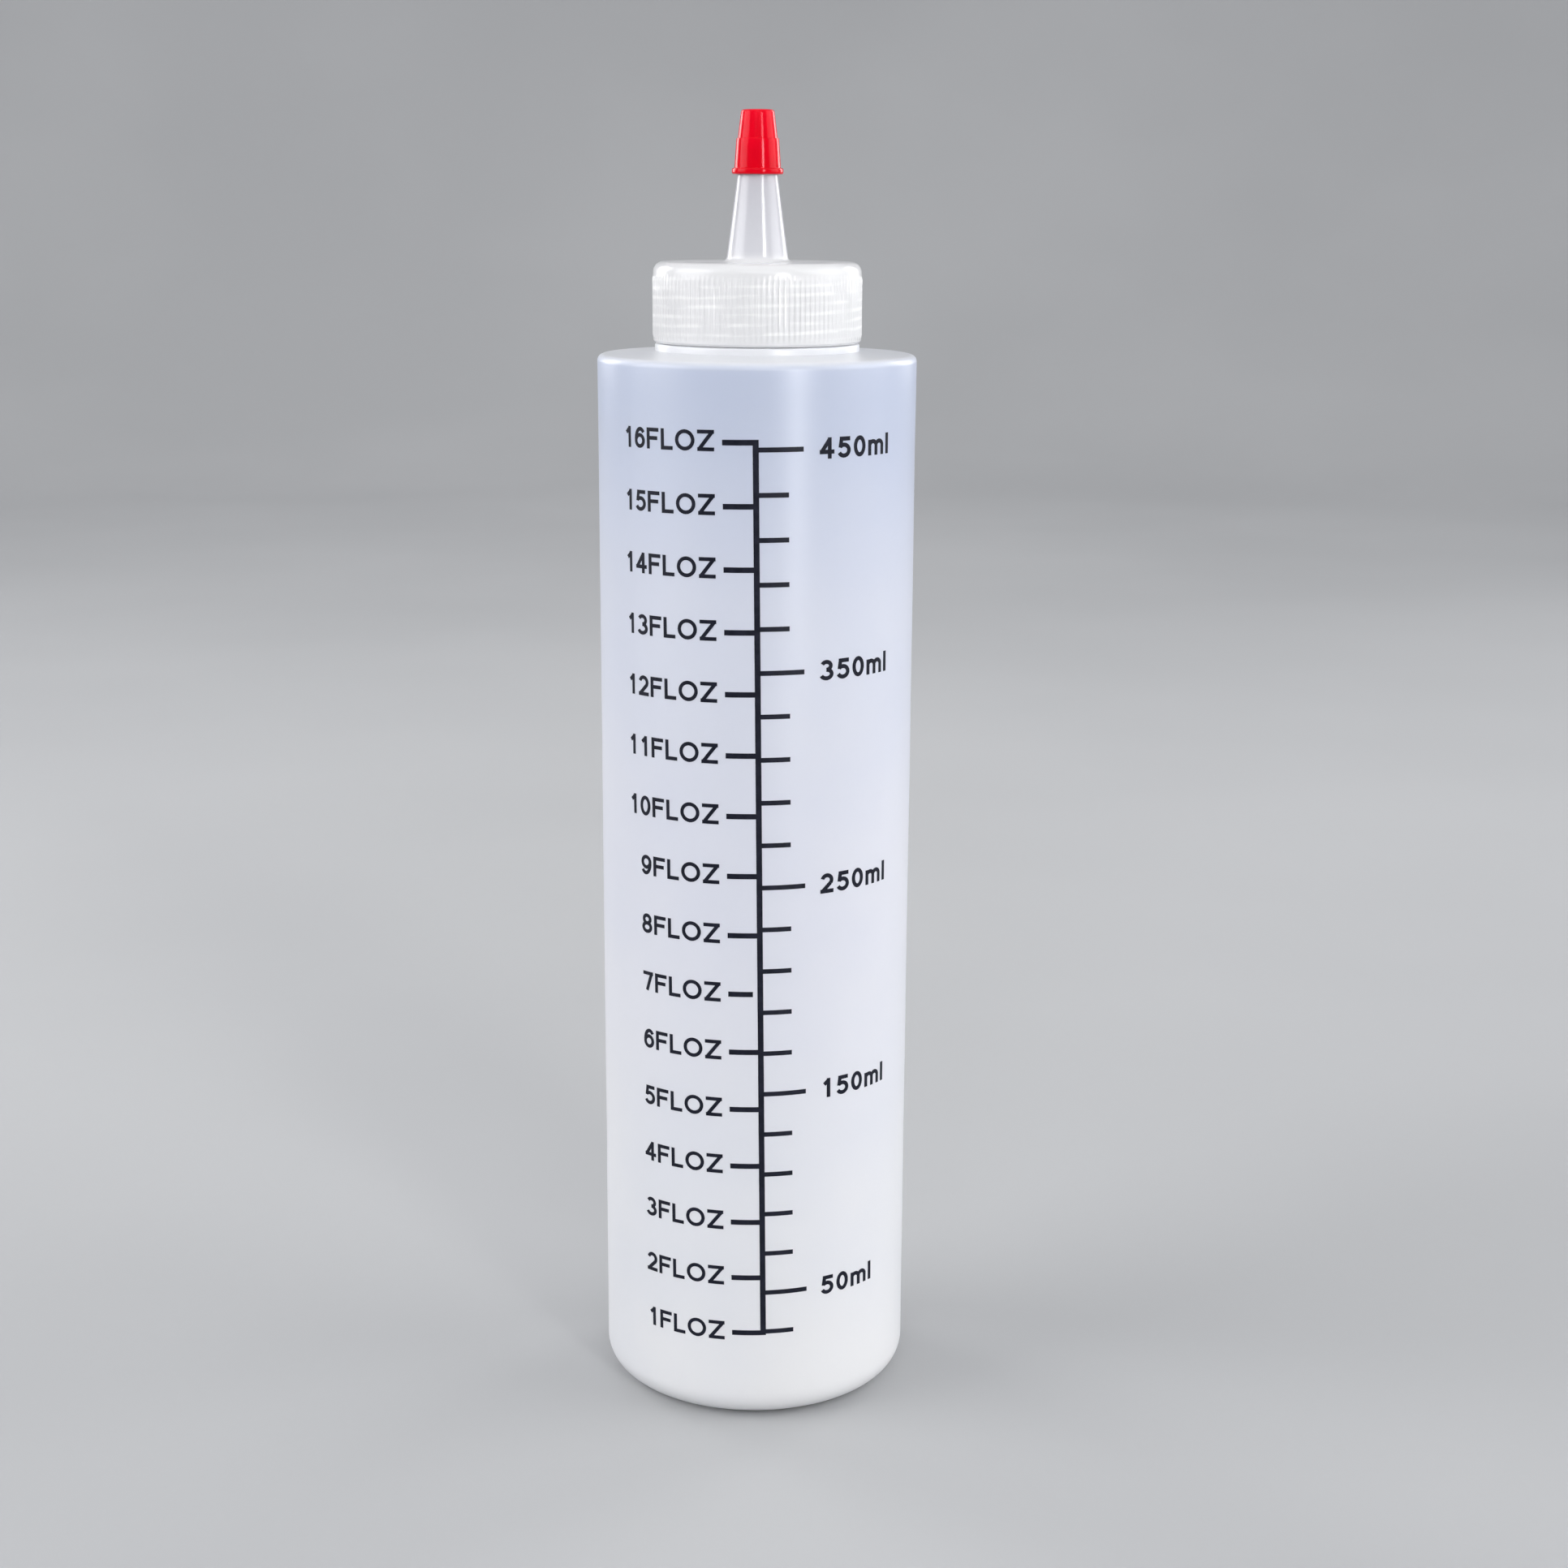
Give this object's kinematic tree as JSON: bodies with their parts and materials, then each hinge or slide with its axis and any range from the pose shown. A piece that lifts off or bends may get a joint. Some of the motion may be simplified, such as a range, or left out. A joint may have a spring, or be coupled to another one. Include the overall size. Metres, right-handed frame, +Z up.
{
  "type": "squeeze bottle",
  "caption": "Tall round squeeze bottle of milky soft plastic with a measuring scale, ribbed screw cap with a tapering spout, and a small push-on red tip cap.",
  "frame": {"origin": "centre of the ring that the bottle stands on, at floor level", "axes": "+Z up along the axis of the bottle, neck and spout; -Y is the front, where the measuring scale is printed"},
  "size_m": [0.057, 0.057, 0.235],
  "materials": {
    "bottle_plastic": "soft milky translucent low-density polyethylene, satin, blown",
    "cap_plastic": "natural translucent polyethylene, moulded, fine upright grip ribs",
    "gasket_foam": "soft white sealing foam, matt",
    "tip_plastic": "bright red soft plastic, smooth and glossy",
    "scale_ink": "near-black screen-printed ink"
  },
  "bodies": {
    "bottle": {"bottle_body": "bottle_plastic"},
    "gasket": {"cap_gasket": "gasket_foam"},
    "cap": {"spout_cap": "cap_plastic"},
    "tip": {"tip_cap": "tip_plastic"}
  },
  "joints": [
    {"name": "cap_lift", "type": "slide", "parent": "bottle", "child": "gasket", "axis": [0, 0, 1], "range_m": [0, 0.0128]},
    {"name": "cap_turn", "type": "hinge", "parent": "gasket", "child": "cap", "pos_m": [0, 0, 0.195], "axis": [0, 0, 1], "range_deg": [0, 1440]},
    {"name": "tip_pull", "type": "slide", "parent": "cap", "child": "tip", "axis": [0, 0, 1], "range_m": [0, 0.02]}
  ],
  "couplings": [
    {"joint": "cap_lift", "follows": "cap_turn", "m_per_rad": 0.0005093}
  ]
}
